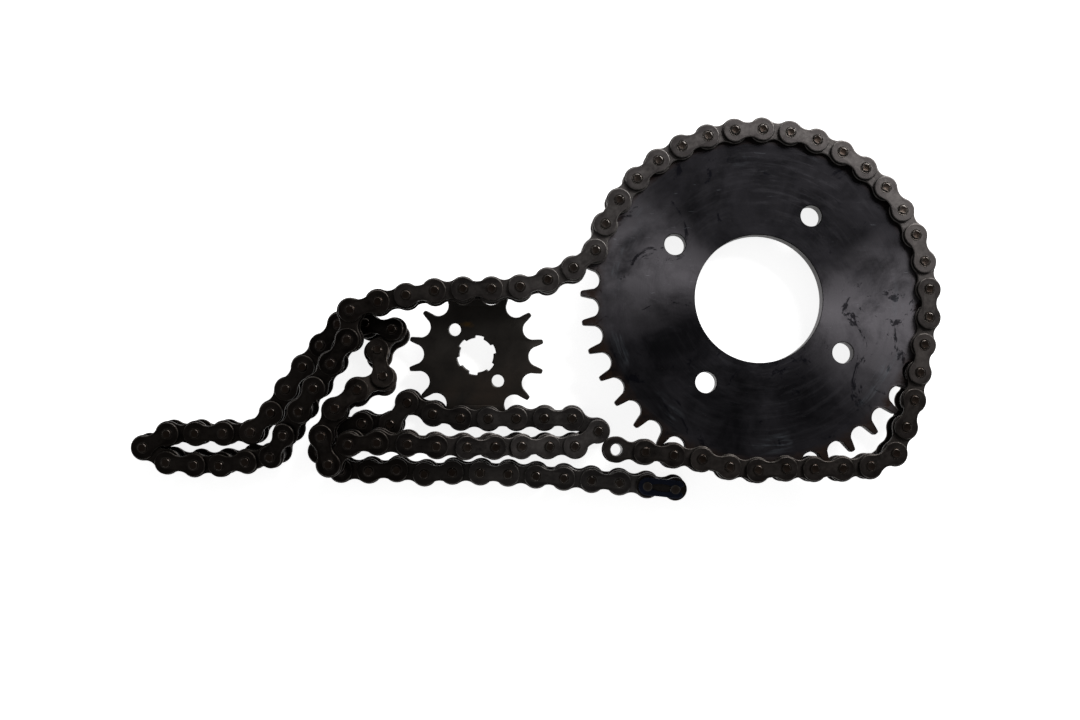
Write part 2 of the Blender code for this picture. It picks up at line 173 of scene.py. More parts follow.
def height(i, x, y):
    """Mid-plane height of pin i: on the sprocket's plane up to pin 42, then over the
    crossing strands and down to the ground, up over the folded strand, and down."""
    plane = HC + GX * x + GY * y
    if i <= 42:
        return plane
    if i == 43:
        return 0.5 * (plane + PIN_END + LEVEL)
    if i <= 57:
        over = 1 - ease((i - 44) / 9)
    elif i <= 73:
        over = ease((i - 62.4) / 8.2)
    else:
        over = 1 - ease((i - 73) / 8.5)
    return PIN_END + LEVEL * over


def bulging_run(n, a, b, weights):
    """n links from a to b in the sprocket's plane that bend by the given shares."""
    share = np.concatenate([[0.0], np.cumsum(weights)])

    def end(h, t):
        q = h - t * share
        return a + PITCH * np.array([np.cos(q).sum(), np.sin(q).sum()])

    h, t, d = radians(-98), radians(80), 1e-5
    for _ in range(60):
        jac = np.array([(end(h + d, t) - end(h - d, t)) / (2 * d),
                        (end(h, t + d) - end(h, t - d)) / (2 * d)]).T
        s = np.clip(np.linalg.solve(jac, end(h, t) - b), -0.2, 0.2)
        h, t = h - s[0], t - s[1]
    out = [a]
    for q in h - t * share:
        out.append(out[-1] + PITCH * np.array([cos(q), sin(q)]))
    return out


def pin_points():
    """The mid-plane point of every pin, each exactly one pitch from the next."""
    pts = {i: on_plane(*seat(i)) for i in range(FIRST, LAST + 1)}
    # round the lower right corner and back to four seated rollers, pins 7 to 4
    run = bulging_run(8, seat(FIRST), seat(FIRST - 7), (.03, .07, .06, .50, .27, .05, .02))
    for k, q in enumerate(run[:-1]):
        pts[FIRST - k] = on_plane(*q)
    for k in range(4):
        pts[7 - k] = on_plane(*seat(FIRST - 7 - k))
    q = seat(FIRST - 10)
    for k, heading in enumerate((172.0, 173.0, 175.0)):
        q = q + PITCH * np.array([cos(radians(heading)), sin(radians(heading))])
        pts[3 - k] = on_plane(*q)
    # the loose part: drawn to the laying points, strands kept apart, pitch kept
    idx = list(range(LAST, LINKS + 2))
    n = len(idx)
    known = [LAST] + sorted(LAY)
    x = np.zeros((n, 3))
    x[:, 0] = np.interp(idx, known, [pts[LAST][0]] + [LAY[k][0] for k in sorted(LAY)])
    x[:, 1] = np.interp(idx, known, [pts[LAST][1]] + [LAY[k][1] for k in sorted(LAY)])
    at = np.array([k - LAST for k in sorted(LAY)])
    goal = np.array([LAY[k] for k in sorted(LAY)], float)
    soft = np.array([0.0 if k in TURNS else 0.025 for k in idx])[1:-1, None]
    own = np.concatenate([np.arange(n), np.arange(n - 1) + 0.5])
    far = np.abs(own[:, None] - own[None, :])
    need = np.where(far >= 2.9, 12.05, 0.0)
    need = np.where(np.abs(far - 2) < 0.1, 14.0, need)
    rounds = 2600
    for it in range(rounds):
        x[at, :2] += 0.1 * min(1.0, (rounds - it) / 600) * (goal - x[at, :2])
        x[:, 2] = [height(i, a, b) for i, (a, b) in zip(idx, x[:, :2])]
        if it % 2 == 0:
            q = np.concatenate([x, (x[1:] + x[:-1]) / 2])
            d = q[:, None, :2] - q[None, :, :2]
            dist = np.linalg.norm(d, axis=2) + 1e-9
            close = (dist < need) & (np.abs(q[:, None, 2] - q[None, :, 2]) < 15.2)
            push = np.where(close, (need - dist) * 0.22, 0.0)
            move = (d / dist[..., None] * push[..., None]).sum(1)
            x[:, :2] += move[:n] * 0.5
            x[:-1, :2] += move[n:] * 0.25
            x[1:, :2] += move[n:] * 0.25
        x[1:-1, :2] += soft * ((x[2:, :2] + x[:-2, :2]) / 2 - x[1:-1, :2])
        x[0] = pts[LAST]
        for _ in range(8):
            for first in (0, 1):
                a = np.arange(first, n - 1, 2)
                v = x[a + 1] - x[a]
                length = np.linalg.norm(v, axis=1)
                c = ((length - PITCH) / length / 2)[:, None] * v
                c[:, 2] = 0
                x[a] += c
                x[a + 1] -= c
            x[0] = pts[LAST]
    for k in range(1, n):
        v = x[k] - x[k - 1]
        x[k, 2] = height(idx[k], x[k, 0], x[k, 1])
        rise = x[k, 2] - x[k - 1, 2]
        x[k, :2] = x[k - 1, :2] + v[:2] / np.linalg.norm(v[:2]) * sqrt(PITCH ** 2 - rise ** 2)
    for k, i in enumerate(idx):
        pts[i] = x[k]
    return pts


def link_frames(pts):
    """4x4 of each link: origin on its first pin's mid-plane point, X to the next pin, Z
    along the pins. The loose links bank, so that each pin lies nearly along its neighbour."""
    run = {i: (pts[i + 1] - pts[i]) / PITCH for i in range(1, LINKS + 1)}

    def square(v, d):
        v = v - v.dot(d) * d
        return v / np.linalg.norm(v)

    level = {}
    for i in run:
        share = min(max((46 - i) / 5.0, 0.0), 1.0)
        level[i] = square(TILT * share + UP * (1 - share), run[i])
    z = dict(level)
    for _ in range(BANKING_ROUNDS):
        old = dict(z)
        for i in range(LAST + 7, LINKS + 1):
            after = old[min(i + 1, LINKS)]
            z[i] = square((old[i - 1] + after) * 0.5 * (1 - UPRIGHT) + level[i] * UPRIGHT, run[i])
    out = {}
    for i, d in run.items():
        y = np.cross(z[i], d)
        out[i] = Matrix(((d[0], y[0], z[i][0], pts[i][0]), (d[1], y[1], z[i][1], pts[i][1]),
                         (d[2], y[2], z[i][2], pts[i][2]), (0, 0, 0, 1)))
    return out


# ---------------------------------------------------------------- placing
joint_at = {j["name"]: j for j in frame["joints"]}
PTS = pin_points()
FRAMES = link_frames(PTS)
SHIFT = Vector(joint_at["ring_on_sprocket"]["pos_m"]) * 1000 - Vector(CENTRE)


def row(m):
    """A layout frame in millimetres, moved to the row's frame."""
    m = m.copy()
    m.translation = m.translation + SHIFT
    return m


# plate heights used for the looks
A0, A1, B0, B1, HEAD = 3.95, 5.18, 5.78, 7.10, 7.86


# ---------------------------------------------------------------- outlines
def smooth_plate(r, waist, inset=0.0, n_end=22, n_waist=9):
    """Figure-eight outline made of four tangent arcs, counterclockwise."""
    half = PITCH / 2
    rc = (half * half + waist * waist - r * r) / (2 * (r - waist))
    t = atan2(waist + rc, half)          # direction of the tangent point from a pin
    re, rw = r - inset, rc + inset
    out = []
    for k in range(n_end + 1):           # left end
        a = t + (2 * pi - 2 * t) * k / n_end
        out.append((re * cos(a), re * sin(a)))
    for k in range(1, n_waist):          # lower waist
        a = (pi - t) + (2 * t - pi) * k / n_waist
        out.append((half + rw * cos(a), -(waist + rc) + rw * sin(a)))
    for k in range(n_end + 1):           # right end
        a = -(pi - t) + (2 * pi - 2 * t) * k / n_end
        out.append((PITCH + re * cos(a), re * sin(a)))
    for k in range(1, n_waist):          # upper waist
        a = -t + (2 * t - pi) * k / n_waist
        out.append((half + rw * cos(a), (waist + rc) + rw * sin(a)))
    return out


def circle(r, n, cx=0.0, cy=0.0, phase=0.0):
    return [(cx + r * cos(phase + 2 * pi * k / n), cy + r * sin(phase + 2 * pi * k / n))
            for k in range(n)]


def offset(line, d):
    """The closed line moved d to its left (inwards for a counterclockwise one)."""
    n = len(line)
    out = []
    for k in range(n):
        (ax, ay), (bx, by), (cx, cy) = line[k - 1], line[k], line[(k + 1) % n]
        u, v = hypot(bx - ax, by - ay), hypot(cx - bx, cy - by)
        n1 = (-(by - ay) / u, (bx - ax) / u)
        n2 = (-(cy - by) / v, (cx - bx) / v)
        s = 1 + n1[0] * n2[0] + n1[1] * n2[1]
        s = max(s, 0.55)
        out.append((bx + (n1[0] + n2[0]) * d / s, by + (n1[1] + n2[1]) * d / s))
    return out


# ---------------------------------------------------------------- meshes
class Soup:
    """Gathers parts into one mesh. `tone` holds a random tint, wear along an edge,
    a brownish oil film that also paints shade, and rust for each point."""

    def __init__(self):
        self.v, self.f, self.m, self.tone = [], [], [], []

    def ring(self, line, z, frame, tone):
        start = len(self.v)
        for x, y in line:
            zz = z(x, y) if callable(z) else z
            self.v.append(frame @ Vector((x, y, zz)))
            self.tone.append(tone)
        return list(range(start, start + len(line)))

    def wall(self, a, b, mat=0):
        n = len(a)
        for k in range(n):
            self.f.append((a[k], a[(k + 1) % n], b[(k + 1) % n], b[k]))
            self.m.append(mat)

    def cap(self, lines, rings, mat=0, flip=False):
        flat = [[Vector((x, y, 0)) for x, y in line] for line in lines]
        idx = [k for r in rings for k in r]
        pts = [p for line in flat for p in line]
        for t in tessellate_polygon(flat):
            a, b, c = (pts[k] for k in t)
            up = (b - a).cross(c - a).z > 0
            t = [idx[k] for k in t]
            if up == flip:
                t.reverse()
            self.f.append(tuple(t))
            self.m.append(mat)

    def build(self, name, mats, body, nodes=(), slot=None, sharp=32, centre=None):
        mesh = bpy.data.meshes.new(name)
        back = centre.inverted() if centre else None
        pts = [(back @ p if back else p) * MM for p in self.v]
        mesh.from_pydata(pts, [], self.f)
        for m in mats:
            mesh.materials.append(m)
        mesh.polygons.foreach_set("material_index", self.m)
        layer = mesh.color_attributes.new("tone", "FLOAT_COLOR", "POINT")
        layer.data.foreach_set("color", np.array(self.tone, np.float32).reshape(-1))
        mesh.validate()
        mesh.shade_smooth()
        mesh.set_sharp_from_angle(angle=radians(sharp))
        obj = bpy.data.objects.new(name, mesh)
        bpy.context.collection.objects.link(obj)
        if centre:
            home = centre.copy()
            home.translation = centre.translation * MM
            obj.matrix_world = home
        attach(obj, body)
        if nodes:
            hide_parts(*nodes)
        return obj


def plate(soup, frame, kind, low, high, tint, film_shade, holes=(), dent=0.0):
    """A plate with rolled edges and flat faces."""
    r, w = (INNER_R, INNER_WAIST) if kind == "inner" else (OUTER_R, OUTER_WAIST)
    b = 0.30
    t = lambda edge: (tint, edge, film_shade, 0.0)
    full, mid, top = smooth_plate(r, w), smooth_plate(r, w, 0.10), smooth_plate(r, w, b)
    face = smooth_plate(r, w, b + 0.28)
    rings = [soup.ring(face, low, frame, t(0)), soup.ring(top, low, frame, t(.5)),
             soup.ring(mid, low + .12, frame, t(1)), soup.ring(full, low + .30, frame, t(.8)),
             soup.ring(full, high - .30, frame, t(.8)), soup.ring(mid, high - .12, frame, t(1)),
             soup.ring(top, high, frame, t(.5)), soup.ring(face, high, frame, t(0))]
    for a, c in zip(rings, rings[1:]):
        soup.wall(a, c)
    cut = [circle(q, 28, x) for x, q in holes]
    lo = [soup.ring(h, low, frame, t(.2)) for h in cut]
    hi = [soup.ring(h, high, frame, t(.2)) for h in cut]
    soup.cap([face] + cut, [rings[0]] + lo, flip=True)
    soup.cap([face] + cut, [rings[-1]] + hi)
    for a, c in zip(hi, lo):
        soup.wall(a, c)


def turned(soup, frame, profile, n, tone, shape=None, mat=0, closed=False):
    """A body of revolution about the frame's Z, from (radius, height) pairs."""
    rings = []
    for k, (r, z) in enumerate(profile):
        line = circle(r, n)
        if shape and k in shape:
            line = [(x * s, y * s) for x, y in line
                    for s in (shape[k](atan2(y, x)),)]
        rings.append(soup.ring(line, z, frame, tone[k] if isinstance(tone, list) else tone))
    for a, b in zip(rings, rings[1:]):
        soup.wall(a, b, mat)
    if closed:
        soup.wall(rings[-1], rings[0], mat)
    return rings


def squarish(a):
    """Radius factor of a square with round corners."""
    return 1.0 / (abs(cos(a)) ** 5 + abs(sin(a)) ** 5) ** 0.2


def pin(soup, frame, tint, film_shade, turn):
    """A riveted pin: a thin staked ring on the plate, then a stud with a squarish,
    slightly dished top."""
    f = frame @ Matrix.Rotation(turn, 4, "Z")
    e = lambda edge, rust=0.0: (tint, edge, film_shade, rust)
    half = [(2.34, 0.0), (2.36, B1 + .02), (2.62, B1 + .05), (2.58, B1 + .13), (2.36, B1 + .15),
            (2.12, B1 + .06), (2.04, B1 + .10), (2.02, HEAD - .22), (1.86, HEAD - .05),
            (1.62, HEAD), (1.34, HEAD - .03), (.70, HEAD - .09)]
    edge = [0, .2, .8, .9, .4, 0, 0, .2, .9, .7, .1, 0]
    rust = [0, 0, 0, 0, .3, .9, .9, .5, .1, .3, .8, .9]
    prof = [(r, -z) for r, z in reversed(half)] + half[1:]
    tone = [e(a, b) for a, b in zip(reversed(edge), reversed(rust))] + \
           [e(a, b) for a, b in zip(edge[1:], rust[1:])]
    n = len(prof)
    shape = {0: squarish, 1: squarish, 2: lambda a: squarish(a) ** .7,
             n - 1: squarish, n - 2: squarish, n - 3: lambda a: squarish(a) ** .7}
    rings = turned(soup, f, prof, 24, tone, shape)
    c = soup.ring([(0, 0)], HEAD - .10, f, e(.1, .9))[0]
    d = soup.ring([(0, 0)], -HEAD + .10, f, e(.1, .9))[0]
    for k in range(24):
        soup.f.append((rings[-1][k], rings[-1][(k + 1) % 24], c))
        soup.f.append((rings[0][(k + 1) % 24], rings[0][k], d))
        soup.m += [0, 0]


def roller(soup, frame, tint):
    t = lambda e: (tint, e, .3, 0.0)
    z = A0 - .22
    turned(soup, frame, [(3.36, -z), (3.95, -z), (4.20, -z + .16), (ROLLER_R, -z + .42),
                         (ROLLER_R, z - .42), (4.20, z - .16), (3.95, z), (3.36, z)], 28,
           [t(.2), t(.6), t(1), t(.4), t(.4), t(1), t(.6), t(.2)], closed=True)


def bush(soup, frame, tint):
    t = (tint, .3, .3, 0.0)
    z = A1 + .02
    turned(soup, frame, [(2.62, -z + .1), (2.74, -z), (3.18, -z), (3.28, -z + .12),
                         (3.28, z - .12), (3.18, z), (2.74, z), (2.62, z - .1)], 28,
           [t] * 8, closed=True)


# ---------------------------------------------------------------- materials
class Nodes:
    def __init__(self, name, metallic=1.0):
        self.mat = bpy.data.materials.new(name)
        self.mat.use_nodes = True
        self.t = self.mat.node_tree
        self.shader = self.t.nodes["Principled BSDF"]
        self.shader.inputs["Metallic"].default_value = metallic
        self.at = self.t.nodes.new("ShaderNodeTexCoord").outputs["Object"]
        self.x = -300

    def node(self, kind, **values):
        n = self.t.nodes.new(kind)
        n.location = (self.x, 200)
        self.x -= 40
        for k, v in values.items():
            setattr(n, k, v)
        return n

    def link(self, a, b):
        self.t.links.new(a, b)

    def noise(self, scale, detail=4.0, rough=0.55, distortion=0.0, at=None):
        n = self.node("ShaderNodeTexNoise")
        n.inputs["Scale"].default_value = scale
        n.inputs["Detail"].default_value = detail
        n.inputs["Roughness"].default_value = rough
        n.inputs["Distortion"].default_value = distortion
        self.link(at or self.at, n.inputs["Vector"])
        return n.outputs["Fac"]

    def squash(self, fac, low, high, a=0.0, b=1.0):
        n = self.node("ShaderNodeMapRange")
        n.inputs["From Min"].default_value = low
        n.inputs["From Max"].default_value = high
        n.inputs["To Min"].default_value = a
        n.inputs["To Max"].default_value = b
        self.link(fac, n.inputs["Value"])
        return n.outputs["Result"]

    def math(self, op, a, b=None, clamp=False):
        n = self.node("ShaderNodeMath", operation=op, use_clamp=clamp)
        for k, v in enumerate((a, b)):
            if v is None:
                continue
            if isinstance(v, (int, float)):
                n.inputs[k].default_value = v
            else:
                self.link(v, n.inputs[k])
        return n.outputs[0]

    def mix(self, fac, a, b):
        n = self.node("ShaderNodeMix", data_type="RGBA")
        for k, v in ((0, fac), (6, a), (7, b)):
            if isinstance(v, (int, float)):
                n.inputs[k].default_value = v
            elif isinstance(v, tuple):
                n.inputs[k].default_value = (*v, 1)
            else:
                self.link(v, n.inputs[k])
        return n.outputs[2]

    def tone(self):
        n = self.node("ShaderNodeVertexColor", layer_name="tone")
        s = self.node("ShaderNodeSeparateColor")
        self.link(n.outputs["Color"], s.inputs[0])
        return s.outputs[0], s.outputs[1], s.outputs[2], n.outputs["Alpha"]

    def finish(self, colour, rough, bump, strength=0.3, distance=0.0002):
        self.link(colour, self.shader.inputs["Base Color"])
        self.link(rough, self.shader.inputs["Roughness"])
        b = self.node("ShaderNodeBump")
        b.inputs["Strength"].default_value = strength
        b.inputs["Distance"].default_value = distance
        self.link(bump, b.inputs["Height"])
        self.link(b.outputs[0], self.shader.inputs["Normal"])
        return self.mat


def chain_steel(name, dark, light, film_shade_dark, film_shade_light, rough=(.34, .55)):
    n = Nodes(name)
    tint, edge, film_shade, rust = n.tone()
    broad, fine, specks = n.noise(160, 5, .6), n.noise(900, 4, .6), n.noise(2600, 3, .7)
    patch = n.squash(n.math("ADD", n.math("MULTIPLY", broad, .6), n.math("MULTIPLY", tint, .4)),
                     .30, .72)
    grey = n.mix(patch, dark, light)
    # the film colours: laid on heavily, they paint the shade on the left heap and the bottom
    # strand
    tan = n.mix(patch, film_shade_dark, film_shade_light)
    colour = n.mix(film_shade, grey, tan)
    # soil in the pores and oil smudges
    soil = n.squash(fine, .60, .74)
    colour = n.mix(n.math("MULTIPLY", soil, .45), colour, (.012, .010, .009))
    # rubbed rims, darker where the brownish film and its painted shade lie
    rub = n.math("MULTIPLY", edge, n.squash(n.noise(500, 4, .6), .30, .62))
    worn = n.mix(film_shade, (.20, .188, .178), (.060, .052, .046))
    colour = n.mix(n.math("MULTIPLY", rub, .8), colour, worn)
    # brown film in the dimples and here and there on the plates
    stain = n.math("MULTIPLY", n.squash(n.noise(340, 5, .65), .60, .75), .35)
    film = n.math("MAXIMUM", rust, stain)
    colour = n.mix(n.math("MULTIPLY", film, .7), colour, (.026, .0165, .0115))
    r = n.math("ADD", n.squash(broad, .3, .7, rough[0], rough[1]), n.math("MULTIPLY", soil, .18))
    r = n.math("SUBTRACT", r, n.math("MULTIPLY", rub, .12), clamp=True)
    bump = n.math("ADD", n.math("MULTIPLY", specks, .5), n.math("MULTIPLY", fine, .8))
    return n.finish(colour, r, bump, .28, .00012)


def polished(name, dark, light):
    """Rollers and bushes, with turning marks round their axis."""
    n = Nodes(name)
    tint, edge, _, _ = n.tone()
    wide = n.noise(220, 4, .6)
    marks = n.noise(1500, 2, .5)
    colour = n.mix(n.squash(wide, .32, .68), dark, light)
    colour = n.mix(n.math("MULTIPLY", edge, .35), colour, (.34, .32, .30))
    r = n.squash(marks, .3, .7, .24, .46)
    return n.finish(colour, r, marks, .2, .0001)


def rear_face():
    """Blackened steel disc: rings left by the lathe, a painted sheen along the turning bands
    and in two opposite sectors, smudges, white scuffs and rust at the rim."""
    n = Nodes("blackened_disc")
    sep = n.node("ShaderNodeSeparateXYZ")
    n.link(n.at, sep.inputs[0])
    x, y = sep.outputs[0], sep.outputs[1]
    rad = n.math("SQRT", n.math("ADD", n.math("MULTIPLY", x, x), n.math("MULTIPLY", y, y)))
    ang = n.math("ARCTAN2", y, x)
    wob = n.noise(14, 3, .6)
    # bands along the turning direction: noise stretched round the axis
    comb = n.node("ShaderNodeCombineXYZ")
    n.link(n.math("MULTIPLY", rad, 90.0), comb.inputs[0])
    n.link(n.math("MULTIPLY", ang, .55), comb.inputs[1])
    band = n.noise(4.0, 6, .68, .2, comb.outputs[0])
    comb2 = n.node("ShaderNodeCombineXYZ")
    n.link(n.math("MULTIPLY", rad, 1500.0), comb2.inputs[0])
    n.link(n.math("MULTIPLY", ang, 1.2), comb2.inputs[1])
    rings = n.noise(1.0, 3, .55, 0, comb2.outputs[0])
    cloud, small = n.noise(38, 6, .62, .6), n.noise(420, 5, .62)
    colour = n.mix(n.squash(cloud, .36, .66), (.0060, .0058, .0066), (.0165, .0156, .0178))
    # painted sheen: lighter colour along the turning bands, a little less rough there too
    sheen = n.math("MULTIPLY", n.squash(band, .50, .70), n.squash(wob, .40, .60))
    def sector(at, width):
        far = n.math("ABSOLUTE", n.math("SUBTRACT", ang, at))
        far = n.math("MINIMUM", far, n.math("SUBTRACT", 2 * pi, far))
        return n.squash(far, width, .05)
    # painted reflection: two opposite sectors of the face, right and left of the axis, made much
    # lighter, broken up by noise
    painted_sheen = n.math("MAXIMUM", sector(-.20, .75), n.math("MULTIPLY", sector(2.85, .62), .9))
    painted_sheen = n.math("MULTIPLY", painted_sheen, n.squash(n.noise(46, 5, .6, .4), .30, .58))
    colour = n.mix(n.math("MULTIPLY", painted_sheen, .70), colour, (.125, .117, .127))
    colour = n.mix(n.math("MULTIPLY", sheen, .30), colour, (.058, .056, .062))
    # blotches of black oil
    oil = n.squash(n.noise(36, 7, .70, 1.8), .585, .62)
    colour = n.mix(n.math("MULTIPLY", oil, .85), colour, (.0035, .0035, .0050))
    # fine scuffs in a few directions, whitish
    scuff = None
    for k, (turn, sx, sy, low) in enumerate(((.5, 90, 900, .66), (-.9, 70, 1100, .67),
                                              (1.9, 60, 700, .665))):
        m = n.node("ShaderNodeMapping")
        m.inputs["Rotation"].default_value = (0, 0, turn)
        m.inputs["Scale"].default_value = (sx, sy, 1)
        m.inputs["Location"].default_value = (k * 3.1, k * 1.7, 0)
        n.link(n.at, m.inputs["Vector"])
        line = n.squash(n.noise(1.0, 5, .75, .5, m.outputs[0]), low, low + .07)
        scuff = line if scuff is None else n.math("MAXIMUM", scuff, line)
    # the scuffs show most inside the painted sheen sectors
    area = n.math("MULTIPLY", n.squash(n.noise(24, 3, .6, .3), .42, .52),
                  n.math("ADD", n.math("MULTIPLY", painted_sheen, .8), .25))
    scuff = n.math("MULTIPLY", scuff, area)
    colour = n.mix(n.math("MULTIPLY", scuff, .85), colour, (.20, .215, .235))
    # chalky smears along the rim, under the chain's run
    smear = n.math("MULTIPLY", n.squash(rad, .0600, .0660), n.squash(rad, .0705, .0672))
    smear = n.math("MULTIPLY", smear, n.squash(band, .46, .60))
    smear = n.math("MULTIPLY", smear, n.squash(n.noise(30, 4, .6), .50, .62))
    colour = n.mix(n.math("MULTIPLY", smear, .45), colour, (.11, .125, .14))
    # rust and rubbed metal at the rim
    tint, edge, film_shade, rust = n.tone()
    rim = n.math("MULTIPLY", n.squash(rad, .0700, .0742),
                 n.squash(n.noise(240, 5, .65), .34, .60))
    rim = n.math("MAXIMUM", rim, n.math("MULTIPLY", rust, n.squash(small, .3, .6)))
    colour = n.mix(n.math("MULTIPLY", rim, .8), colour, (.024, .0135, .0090))
    rub = n.math("MULTIPLY", edge, n.squash(small, .38, .60))
    colour = n.mix(n.math("MULTIPLY", rub, .4), colour, (.10, .085, .072))
    dust = n.squash(n.noise(1500, 3, .7), .70, .76)
    colour = n.mix(n.math("MULTIPLY", dust, .22), colour, (.20, .17, .15))
    r = n.math("ADD", n.squash(cloud, .3, .7, .40, .60), n.math("MULTIPLY", sheen, -.10))
    r = n.math("ADD", r, n.math("MULTIPLY", rim, .25), clamp=True)
    bump = n.math("ADD", n.math("MULTIPLY", rings, .45), n.math("MULTIPLY", small, .6))
    bump = n.math("SUBTRACT", bump, n.math("MULTIPLY", scuff, .6))
    return n.finish(colour, r, bump, .30, .00018)


def front_face():
    n = Nodes("dull_grey_disc")
    tint, edge, film_shade, rust = n.tone()
    cloud, fine, pores = n.noise(55, 6, .6, .4), n.noise(480, 5, .6), n.noise(2200, 3, .7)
    colour = n.mix(n.squash(cloud, .34, .66), (.0225, .0200, .0180), (.038, .0340, .0305))
    soil = n.squash(fine, .58, .72)
    colour = n.mix(n.math("MULTIPLY", soil, .35), colour, (.014, .012, .011))
    sep = n.node("ShaderNodeSeparateXYZ")
    n.link(n.at, sep.inputs[0])
    # brown film low on the face, and one small yellow-brown spot near the rim
    low = n.math("MULTIPLY", n.squash(sep.outputs[1], .004, -.024), n.squash(cloud, .40, .62))
    colour = n.mix(n.math("MULTIPLY", low, .55), colour, (.034, .021, .014))
    dx = n.math("ADD", sep.outputs[0], .0040)
    dy = n.math("SUBTRACT", sep.outputs[1], .0142)
    d = n.math("SQRT", n.math("ADD", n.math("MULTIPLY", n.math("MULTIPLY", dx, dx), .45),
                              n.math("MULTIPLY", n.math("MULTIPLY", dy, dy), 2.2)))
    spot = n.math("SUBTRACT", n.squash(d, .0030, .0006),
                  n.math("MULTIPLY", n.squash(fine, .4, .6), .4), clamp=True)
    colour = n.mix(n.math("MULTIPLY", spot, .6), colour, (.11, .060, .014))
    rub = n.math("MULTIPLY", edge, n.squash(fine, .36, .60))
    colour = n.mix(n.math("MULTIPLY", rub, .5), colour, (.16, .15, .14))
    r = n.squash(cloud, .3, .7, .46, .62)
    bump = n.math("ADD", n.math("MULTIPLY", pores, .5), n.math("MULTIPLY", fine, .8))
    return n.finish(colour, r, bump, .32, .00015)


def blue_clip():
    n = Nodes("blued_spring")
    tint, edge, _, _ = n.tone()
    cloud, fine = n.noise(260, 4, .6), n.noise(1600, 3, .6)
    colour = n.mix(n.squash(cloud, .32, .68), (.0035, .0042, .0085), (.008, .0095, .020))
    colour = n.mix(n.math("MULTIPLY", edge, .5), colour, (.045, .055, .085))
    return n.finish(colour, n.squash(fine, .3, .7, .24, .40), fine, .18, .0001)


STEEL = chain_steel("chain_plates", (.034, .0305, .0300), (.070, .0635, .0620),
                    (.0060, .0048, .0042), (.0170, .0140, .0122))
PINS = chain_steel("pin_steel", (.030, .026, .024), (.075, .067, .061),
                   (.0085, .0066, .0056), (.030, .0240, .0205), (.18, .32))
ROLLERS = polished("roller_steel", (.022, .020, .019), (.060, .056, .053))
DISC, SMALL_DISC, BLUE = rear_face(), front_face(), blue_clip()


# ---------------------------------------------------------------- chain
def body_links():
    """Each body's links: name, first link, one past the last, nodes that it stands for."""
    out = []
    for body in frame["bodies"]:
        if body.startswith("links_"):
            a, c = int(body[6:9]), int(body[10:13])
            out.append((body, a, c, [body]))
    out.append(("outer_link_002_003", 2, 3, ["outer_link_002_003"]))
    out.append(("inner_link_103_104", 103, 104, ["inner_link_103_104"]))
    return sorted(out, key=lambda r: r[1])


def film_and_shade(i):
    """A dark brownish oil film on the loose folds, laid on thicker to the left and on the bottom
    strand, where it paints the shade of light falling off.
    """
    x = (PTS[i][0] + PTS[i + 1][0]) / 2 + SHIFT[0]
    # painted shade: the film thickens towards the left, where the light falls off
    film = min(max((45 - x) / 115, 0), 1)
    # painted shade: the bottom strand, links 1 to 12, darkest, easing off by link 18
    if i <= 18:
        return 0.85 - 0.5 * max(i - 12, 0) / 6
    return 0.08 + 0.92 * film


def link_pieces(plates, pins, rolls, i, seen_bush=False):
    f = row(FRAMES[i])
    b = film_and_shade(i)
    far = f @ Matrix.Translation((PITCH, 0, 0))
    if i % 2:
        for low, high in ((-A1, -A0), (A0, A1)):
            plate(plates, f, "inner", low, high, random.random(), b,
                  [(0.0, 3.30), (PITCH, 3.30)])
        for g in (f, far):
            bush(rolls, g, random.random())
            roller(rolls, g, random.random())
    else:
        for low, high in ((-B1, -B0), (B0, B1)):
            plate(plates, f, "outer", low, high, random.random(), b,
                  [(0.0, 2.34), (PITCH, 2.34)])
        for g in (f, far):
            pin(pins, g, random.random(), min(b, .8), random.uniform(0, pi))


for body, first, past, nodes in body_links():
    plates, pins, rolls = Soup(), Soup(), Soup()
    for i in range(first, past):
        link_pieces(plates, pins, rolls, i)
    plates.build(body + "_plates", [STEEL], body, nodes, "chain_steel")
    if pins.v:
        pins.build(body + "_pins", [PINS], body, nodes, "chain_steel", 40)
    if rolls.v:
        rolls.build(body + "_rollers", [ROLLERS], body, nodes, "bare_steel", 40)

# the open end link, piece by piece
f1 = row(FRAMES[1])
# the open end link carries the bottom strand's dark film, painted shade included
for name, low, high in (("end_inner_plate_top", A0, A1), ("end_inner_plate_bottom", -A1, -A0)):
    s = Soup()
    plate(s, f1, "inner", low, high, .5, .80, [(0.0, 3.30), (PITCH, 3.30)])
    s.build(name + "_look", [STEEL], "end_link", [name], "chain_steel")
for k in (1, 2):
    g = f1 @ Matrix.Translation((PITCH * (k - 1), 0, 0))
    s = Soup()
    bush(s, g, .5)
    s.build("end_bush_%d_look" % k, [ROLLERS], "end_link", ["end_bush_%d" % k], "bare_steel", 40)
    s = Soup()
    roller(s, g, .6)
    s.build("end_roller_%d_look" % k, [ROLLERS], "end_roller_%d" % k, ["end_roller_%d" % k],
            "bare_steel", 40)

# connecting link: pins with a groove for the clip, loose upper plate, clip
fc = row(FRAMES[104])
s = Soup()
